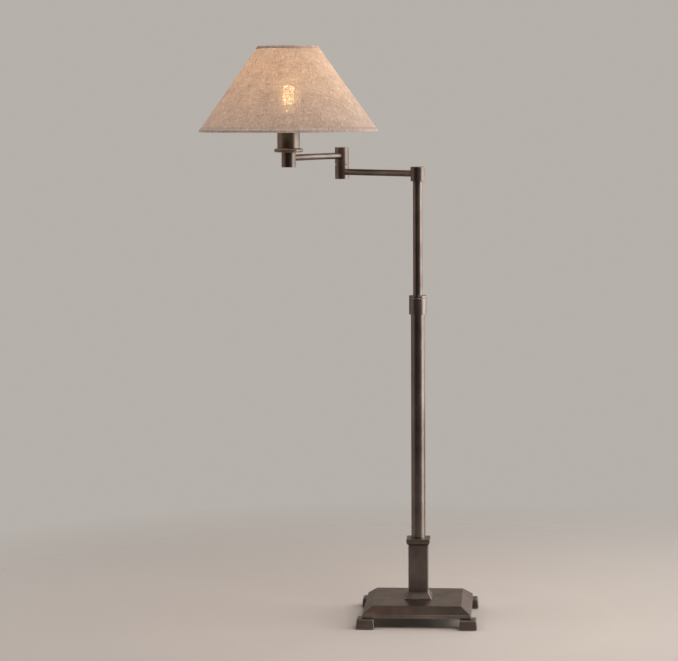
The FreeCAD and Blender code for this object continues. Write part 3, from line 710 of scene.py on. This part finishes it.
class LAMP_OT_arm(bpy.types.Operator):
    """Make the knuckles of the swing arm and the two rods between them"""

    bl_idname = "lamp.arm"
    bl_label = "Swing arm"

    def execute(self, context):
        edge = context.scene.lamp_finish.edge_radius
        barrels = (
            ("post_barrel", "post_disc", "arm_1", True),
            ("elbow_lower_barrel", "elbow_lower_disc", "arm_1", False),
            ("elbow_upper_barrel", "elbow_upper_disc", "arm_2", True),
            ("socket_barrel", "socket_barrel_disc", "arm_2", False),
        )
        for node, disc, body, disc_on_top in barrels:
            self.barrel(node, disc, body, disc_on_top, edge)
        self.rod("arm_1_rod", "arm_1", POST, ELBOW)
        self.rod("arm_2_rod", "arm_2", ELBOW, SOCKET)
        return {"FINISHED"}

    def barrel(self, node, disc, body, disc_on_top, edge):
        """A knuckle's barrel, bored for its pin at one end and for its closing disc at the other."""
        x, y, radius, low, high = round_node(node)
        low_bore, high_bore = (PIN_HOLE, DISC_RADIUS) if disc_on_top else (DISC_RADIUS, PIN_HOLE)
        step = high - BARREL_STEP if disc_on_top else low + BARREL_STEP
        corners = [
            (low_bore, step), (low_bore, low), (radius, low), (radius, high), (high_bore, high),
            (high_bore, step), (low_bore, step),
        ]
        patch = turned(corners, edge, circle(128), x, y)
        piece(node + "_turned", [patch], "turned", body, [node])
        x, y, radius, low, high = round_node(disc)
        corners = [(0, low), (radius, low), (radius, high), (0, high)]
        patch = turned(corners, 0.35 * MM, circle(), x, y)
        piece(disc + "_turned", [patch], "turned", body, [disc])

    def rod(self, node, body, start, end):
        """A drawn tube, level, from one knuckle's wall to the other's."""
        low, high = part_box(node)
        radius = (high.z - low.z) / 2
        along = (end - start).length
        patch = turned(hollow(radius, radius - ROD_WALL, ROD_END, along - ROD_END), 0.2 * MM, circle(64))
        pointed(patch, (start.x, start.y, low.z + radius), (end.x - start.x, end.y - start.y, 0.0))
        piece(node + "_drawn", [patch], "tube", body, [node])


class LAMP_OT_holder(bpy.types.Operator):
    """Make the drip ring, the socket cup and the switch's fluted knob"""

    bl_idname = "lamp.holder"
    bl_label = "Lamp holder"

    def execute(self, context):
        x, y, radius, low, high = round_node("drip_ring")
        corners = [(CUP_HOLE, low), (radius, low), (radius, high), (CUP_HOLE, high), (CUP_HOLE, low)]
        half_round = 3.3 * MM
        patch = turned(corners, half_round, circle(128), x, y)
        piece("drip_ring_turned", [patch], "turned", "arm_2", ["drip_ring"])
        x, y, radius, low, high = round_node("socket_cup")
        inside, floor = radius - CUP_WALL, low + CUP_WALL
        corners = [
            (CUP_HOLE, low), (radius, low), (radius, high), (inside, high), (inside, floor),
            (CUP_HOLE, floor), (CUP_HOLE, low),
        ]
        patch = turned(corners, 0.9 * MM, circle(128), x, y)
        piece("socket_cup_drawn", [patch], "turned", "arm_2", ["socket_cup"])
        self.knob()
        return {"FINISHED"}

    def knob(self):
        """A turned knob whose radius is R (1 - d cos(n a / 2)^8) along its grip, for n flutes of depth d."""
        low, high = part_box("switch_knob")
        centre = middle("switch_knob")
        radius, length = (high.z - low.z) / 2, high.y - low.y
        corners = [(0, 0), (0.8 * radius, 0), (radius, 0.2 * length), (0.94 * radius, length), (0, length)]
        profile, wear = rounded(corners, 0.8 * MM)
        patch = carried(profile, circle(), wear)
        turn = np.linspace(0, 2 * np.pi, 97)[None, :]
        outwards = np.clip(profile[:, 0] / radius, 0, 1) ** 4
        grip = (np.clip((profile[:, 1] / length - 0.22) * 12, 0, 1) * outwards)[:, None]
        flutes = np.cos(KNOB_FLUTES / 2 * turn) ** 8
        patch["grid"][:, :, :2] *= (1 - FLUTE_DEPTH * grip * flutes)[:, :, None]
        pointed(patch, (centre.x, low.y, centre.z), (0.0, 1.0, 0.0))
        piece("switch_knob_turned", [patch], "turned", "switch", ["switch_knob"])


class LAMP_OT_bulb(bpy.types.Operator):
    """Make the bulb: glass, screw cap and the lit diffuser inside"""

    bl_idname = "lamp.bulb"
    bl_label = "Bulb"

    def execute(self, context):
        self.glass()
        self.cap()
        self.diffuser()
        return {"FINISHED"}

    def glass(self):
        """A pear: neck radius plus the rest times sin^1.6 of the share of the way up, closed by a sphere."""
        x, y, radius, low, high = round_node("bulb_glass")
        centre = high - radius
        up = np.linspace(0, 1, 30)[:, None]
        side_height = low + (centre - low) * up
        side_half = BULB_NECK + (radius - BULB_NECK) * np.sin(up * np.pi / 2) ** 1.6
        turn = np.linspace(0, np.pi / 2, 24)[1:, None]
        dome = np.concatenate([radius * np.cos(turn), centre + radius * np.sin(turn)], 1)
        outer = np.concatenate([np.concatenate([side_half, side_height], 1), dome])
        patch = moved(carried(outer, circle()), x, y)
        piece("bulb_glass_blown", [patch], "glass", "arm_2", ["bulb_glass"], False)

    def cap(self):
        """A screw cap: on its thread the radius is R - d/2 + d/2 sin(turns of height / pitch + angle)."""
        x, y, radius, low, high = round_node("bulb_cap")
        thread_low = low + THREAD_START
        swell = THREAD_DEPTH / 2
        corners = [
            (0, low), (CONTACT_RADIUS, low), (CONTACT_RADIUS, low + CONTACT_HEIGHT),
            (radius - THREAD_DEPTH, thread_low),
        ]
        start = rounded(corners, 0.5 * MM)[0]
        height = np.linspace(thread_low, high, 70)[1:]
        thread = np.stack([np.full_like(height, radius - swell), height], 1)
        patch = carried(np.concatenate([start, thread]), circle())
        turn = np.arctan2(patch["grid"][..., 1], patch["grid"][..., 0])
        climb = (patch["grid"][..., 2] - thread_low) / THREAD_PITCH
        wave = swell * np.sin(2 * np.pi * climb + turn) * np.clip(climb, 0, 1)
        patch["grid"][..., 0] += wave * np.cos(turn)
        patch["grid"][..., 1] += wave * np.sin(turn)
        piece("bulb_cap_drawn", [moved(patch, x, y)], "aluminium", "arm_2", ["bulb_cap"], False)

    def diffuser(self):
        """The lit opal column inside the glass, with rounded ends."""
        x, y, radius, _, high = round_node("bulb_glass")
        centre = high - radius - DIFFUSER_DROP
        low, top = centre - DIFFUSER_REACH, centre + DIFFUSER_REACH
        corners = [(0, low), (DIFFUSER_RADIUS, low), (DIFFUSER_RADIUS, top), (0, top)]
        round_end = 10 * MM
        patch = turned(corners, round_end, circle(48), x, y)
        piece("bulb_diffuser_opal", [patch], "diffuser", "arm_2", (), False)


class LAMP_OT_shade(bpy.types.Operator):
    """Make the shade: linen cover, lapped seam, folded tapes and styrene liner"""

    bl_idname = "lamp.shade"
    bl_label = "Shade"

    def execute(self, context):
        x, y, radius, low, high = round_node("shade_cover")
        slope = (radius - self.top_radius()) / (high - low)
        self.place, self.low, self.high, self.radius, self.slope = (x, y), low, high, radius, slope
        self.slant = math.hypot(1, slope)
        cover = self.cover()
        self.liner()
        lap = self.lap(context.scene.lamp_shade.lap)
        fold = context.scene.lamp_shade.fold
        tapes = [self.bottom_tape(fold), self.top_tape(fold)]
        return {"FINISHED"}

    def top_radius(self):
        """The cover's radius at its top, which no box gives.

        The top trim's widest place is its lower edge, where it stands off the linen by its own thickness
        along the slant. That makes the slope depend on itself a little, and a few rounds settle it.
        """
        _, _, trim_radius, trim_low, _ = round_node("shade_top_trim")
        _, _, radius, low, high = round_node("shade_cover")
        slope = 0.0
        for _ in range(12):
            slope = (radius - trim_radius + TRIM_WALL * math.hypot(1, slope)) / (trim_low - low)
        return radius - slope * (high - low)

    def share(self):
        """The part of a full disc that the cone's flat cut is: the sine of its half angle."""
        return self.slope / self.slant

    def reach(self, height):
        """Distance from the cone's apex along its side."""
        return self.at(height) / self.share()

    def at(self, height, outside=0.0):
        """The cone's radius at a height, that far outside the linen's face."""
        return self.radius - self.slope * (height - self.low) + outside * self.slant

    def skin(self, outside, low, high, rows, turn=ALL_ROUND):
        """A sheet of no thickness on the cone, as the tapes hide its cut edges."""
        height = np.linspace(low, high, rows)
        return self.wrapped(self.at(height, outside), height, turn)

    def wrapped(self, radius, height, turn=ALL_ROUND):
        """Rows of points round the shade's axis.

        The point at angle a and height h is radius (cos a, sin a), and its UV is where it lies on the flat
        cut: the distance to the apex times the sine and cosine of a's share of the disc, so that the
        threads run straight in the flat cloth.
        """
        angle = turn + np.pi / 2
        grid = np.stack(np.broadcast_arrays(
            self.place[0] + radius[:, None] * np.cos(angle), self.place[1] + radius[:, None] * np.sin(angle),
            height[:, None]), 2)
        away = self.at(height) / self.share()
        flat = (turn - np.pi) * self.share()
        uv = np.stack([away[:, None] * np.sin(flat), -away[:, None] * np.cos(flat)], 2)
        return {"grid": grid, "uv": uv, "edge": np.zeros(grid.shape[:2])}

    def cover(self):
        """The linen, one sheet all the way round."""
        patch = self.skin(0.0, self.low + CUT_EDGE, self.high - CUT_EDGE, 48)
        return piece("shade_linen", [patch], "linen", "arm_2", ["shade_cover"], False)

    def liner(self):
        """The stiff sheet that the linen is bonded to."""
        patch = self.skin(-LINER_INSIDE, self.low + CUT_EDGE, self.high - CUT_EDGE, 48)
        piece("shade_styrene", [patch], "styrene", "arm_2", ["shade_liner"], False)

    def lap(self, width):
        """The overlap where the cloth's two edges meet, at the back."""
        turn = 2 * np.pi + np.linspace(-0.5, 0.5, 7) * width / self.radius
        patch = self.skin(0.4 * MM, self.low + 7 * MM, self.high - 4 * MM, 30, turn)
        return piece("shade_lap", [patch], "trim", "arm_2", (), False)

    def tape(self, name, corners, bend, fold, node):
        """A strip of cloth with its folds rounded, carried round the shade and given its thickness."""
        profile = rounded(corners, bend, 7)[0]
        patch = self.wrapped(profile[:, 0], profile[:, 1])
        thing = piece(name, [patch], "trim", "arm_2", [node], False)
        wall = thing.modifiers.new("cloth", "SOLIDIFY")
        wall.thickness = fold
        wall.offset = -1
        return thing

    def bottom_tape(self, fold):
        """A tape over the bottom edge: down the outside, under the wire and up the inside."""
        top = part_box("shade_bottom_trim")[1].z
        low = self.low + TAPE_SHY
        blunt = low + 2.6 * MM
        wire = round_node("shade_bottom_ring")[2] - 3.6 * MM
        corners = [
            (self.at(top, -HEM_INSIDE), top + 1 * MM), (wire - 0.6 * MM, low + 4.5 * MM), (wire, low),
            (self.at(low, TAPE_CLEAR) - 4 * MM, low), (self.at(blunt, TAPE_CLEAR), blunt),
            (self.at(top, TAPE_CLEAR), top),
        ]
        return self.tape("shade_bottom_tape", corners, 3 * MM, fold, "shade_bottom_trim")

    def top_tape(self, fold):
        """A tape over the top edge: up the outside, over the wire and down the inside."""
        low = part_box("shade_top_trim")[0].z
        high = self.high - TAPE_SHY
        corners = [
            (self.at(low, TAPE_CLEAR), low), (self.at(high, TAPE_CLEAR), high),
            (self.at(high, -TOP_TURN_IN), high), (self.at(low, -TOP_TURN_IN), low),
            (self.at(low, -HEM_INSIDE), low - 1.0 * MM),
        ]
        return self.tape("shade_top_tape", corners, 1.6 * MM, fold, "shade_top_trim")


class LAMP_OT_stage(bpy.types.Operator):
    """Make the floor, the soft studio lights, the backdrop and the camera"""

    bl_idname = "lamp.stage"
    bl_label = "Stage"

    def execute(self, context):
        look = context.scene.lamp_stage
        self.floor(look)
        self.world(look)
        self.light("soft key", 86, 1.9, 0.85, (1.5, 2.3), look.key, "fffaf7")
        self.light("soft fill", -88, 2.0, 0.8, (2.2, 2.0), look.fill, "ffeadb")
        self.light("soft rim", 130, 1.9, 1.0, (0.9, 1.6), look.rim, "fffaf7")
        self.light("high right box", 36, 1.7, 2.3, (1.1, 1.1), look.high, "fff6f0")
        self.light("high left box", -78, 1.8, 2.2, (1.1, 1.1), look.high * 0.62, "fdf8ff")
        self.camera(look)
        context.scene.view_settings.view_transform = "Standard"
        return {"FINISHED"}

    def floor(self, look):
        """A disc whose edge fades into the backdrop, so that no horizon shows."""
        material, output = new_material("matt painted floor")
        place = add(material, "TexCoord").outputs["Object"]
        away = add(material, "VectorMath", {0: place}, operation="LENGTH").outputs["Value"]
        grain = remapped(material, grains(material, place, (6.0, 6.0, 6.0)), 0.3, 0.7, 0.0, 1.0)
        darker = rgba(0.97 * v for v in look.backdrop)
        colour = blended(material, grain, rgba(look.backdrop), darker)
        matt = add(material, "BsdfPrincipled", {"Base Color": colour, "Roughness": 0.6}).outputs[0]
        clear = add(material, "BsdfTransparent").outputs[0]
        fade = remapped(material, away, 0.4, 1.4, 0.0, 1.0)
        finish_with(material, output, add(material, "MixShader", {0: fade, 1: matt, 2: clear}).outputs[0])
        profile = np.stack([np.linspace(0, 1.6, 40), np.zeros(40)], 1)
        patch = carried(profile, circle())
        mesh = bpy.data.meshes.new("floor")
        upwards = grid_faces(patch)[:, ::-1]
        mesh.from_pydata(patch["grid"].reshape(-1, 3).tolist(), [], upwards.tolist())
        mesh.materials.append(material)
        placed("floor", mesh)

    def world(self, look):
        """A pale backdrop to look at, and a dimmer room that is darkest in front and overhead."""
        world = bpy.data.worlds.new("studio")
        world.use_nodes = True
        tree = world.node_tree
        tree.nodes.clear()
        output = tree.nodes.new("ShaderNodeOutputWorld")
        way = add(world, "TexCoord").outputs["Generated"]
        parts = add(world, "SeparateXYZ", {"Vector": way}).outputs
        behind = remapped(world, parts["Y"], -0.6, 0.9, 0.1, 0.5)
        right = remapped(world, parts["X"], -0.3, 0.3, 0.5, 1.15)
        low = remapped(world, parts["Z"], -0.1, 0.15, 0.7, 1.0)
        level = remapped(world, parts["Z"], 0.25, 0.95, 1.0, 0.4)
        room = add(world, "Math", {0: behind, 1: level}, operation="MULTIPLY").outputs[0]
        for share in (right, low):
            room = add(world, "Math", {0: room, 1: share}, operation="MULTIPLY").outputs[0]
        seen = add(world, "Background", {"Color": rgba(look.backdrop), "Strength": 0.8}).outputs[0]
        lit = add(world, "Background", {"Color": linear("ffeadb"), "Strength": room}).outputs[0]
        ray = add(world, "LightPath").outputs["Is Camera Ray"]
        both = add(world, "MixShader", {0: ray, 1: lit, 2: seen}).outputs[0]
        tree.links.new(both, output.inputs["Surface"])
        bpy.context.scene.world = world

    def light(self, name, turn, away, height, size, power, colour):
        """A soft box turned about the post, from 0 at the front, aimed at the lamp's middle."""
        data = bpy.data.lights.new(name, "AREA")
        data.shape = "RECTANGLE"
        data.size, data.size_y = size
        data.energy = power
        data.color = linear(colour)[:3]
        angle = math.radians(turn)
        place = Vector((math.sin(angle) * away, -math.cos(angle) * away, height))
        box = placed(name, data)
        aim = (place - Vector((0, 0, 0.6))).to_track_quat("Z", "Y")
        box.matrix_world = Matrix.Translation(place) @ aim.to_matrix().to_4x4()
        box.visible_camera = False

    def camera(self, look):
        """Looks along +Y, turned by yaw, pitch and roll."""
        yaw, pitch, roll = look.turn
        data = bpy.data.cameras.new("camera")
        data.lens = look.lens
        eye = placed("camera", data)
        facing = Matrix.Rotation(-yaw, 4, "Z") @ Matrix.Rotation(math.pi / 2 + pitch, 4, "X")
        eye.matrix_world = Matrix.Translation(look.place) @ (facing @ Matrix.Rotation(roll, 4, "Z"))
        bpy.context.scene.camera = eye


class LAMP_PT_panel(bpy.types.Panel):
    """Lists the lamp's sizes and the operators that make it."""

    bl_idname = "LAMP_PT_panel"
    bl_label = "Swing-Arm Floor Lamp"
    bl_space_type = "VIEW_3D"
    bl_region_type = "UI"
    bl_category = "Lamp"

    def draw(self, context):
        for name in GROUPS:
            group = getattr(context.scene, name)
            box = self.layout.box()
            for prop in group.bl_rna.properties:
                if prop.identifier not in ("rna_type", "name"):
                    box.prop(group, prop.identifier)
        for operator in OPERATORS:
            self.layout.operator(operator.bl_idname)


GROUPS = {"lamp_finish": LampFinish, "lamp_shade": LampShade, "lamp_bulb": LampBulb, "lamp_stage": LampStage}
OPERATORS = (
    LAMP_OT_stage, LAMP_OT_finishes, LAMP_OT_base, LAMP_OT_neck, LAMP_OT_post, LAMP_OT_arm, LAMP_OT_holder,
    LAMP_OT_bulb, LAMP_OT_shade,
)


def register():
    for name, group in GROUPS.items():
        bpy.utils.register_class(group)
        setattr(bpy.types.Scene, name, bpy.props.PointerProperty(type=group))
    for operator in OPERATORS:
        bpy.utils.register_class(operator)
    bpy.utils.register_class(LAMP_PT_panel)


def unregister():
    bpy.utils.unregister_class(LAMP_PT_panel)
    for operator in reversed(OPERATORS):
        bpy.utils.unregister_class(operator)
    for name, group in reversed(GROUPS.items()):
        delattr(bpy.types.Scene, name)
        bpy.utils.unregister_class(group)


def main():
    register()
    bpy.ops.lamp.stage()
    bpy.ops.lamp.finishes()
    bpy.ops.lamp.base()
    bpy.ops.lamp.neck()
    bpy.ops.lamp.post()
    bpy.ops.lamp.arm()
    bpy.ops.lamp.holder()
    bpy.ops.lamp.bulb()
    bpy.ops.lamp.shade()


if __name__ == "__main__":
    main()
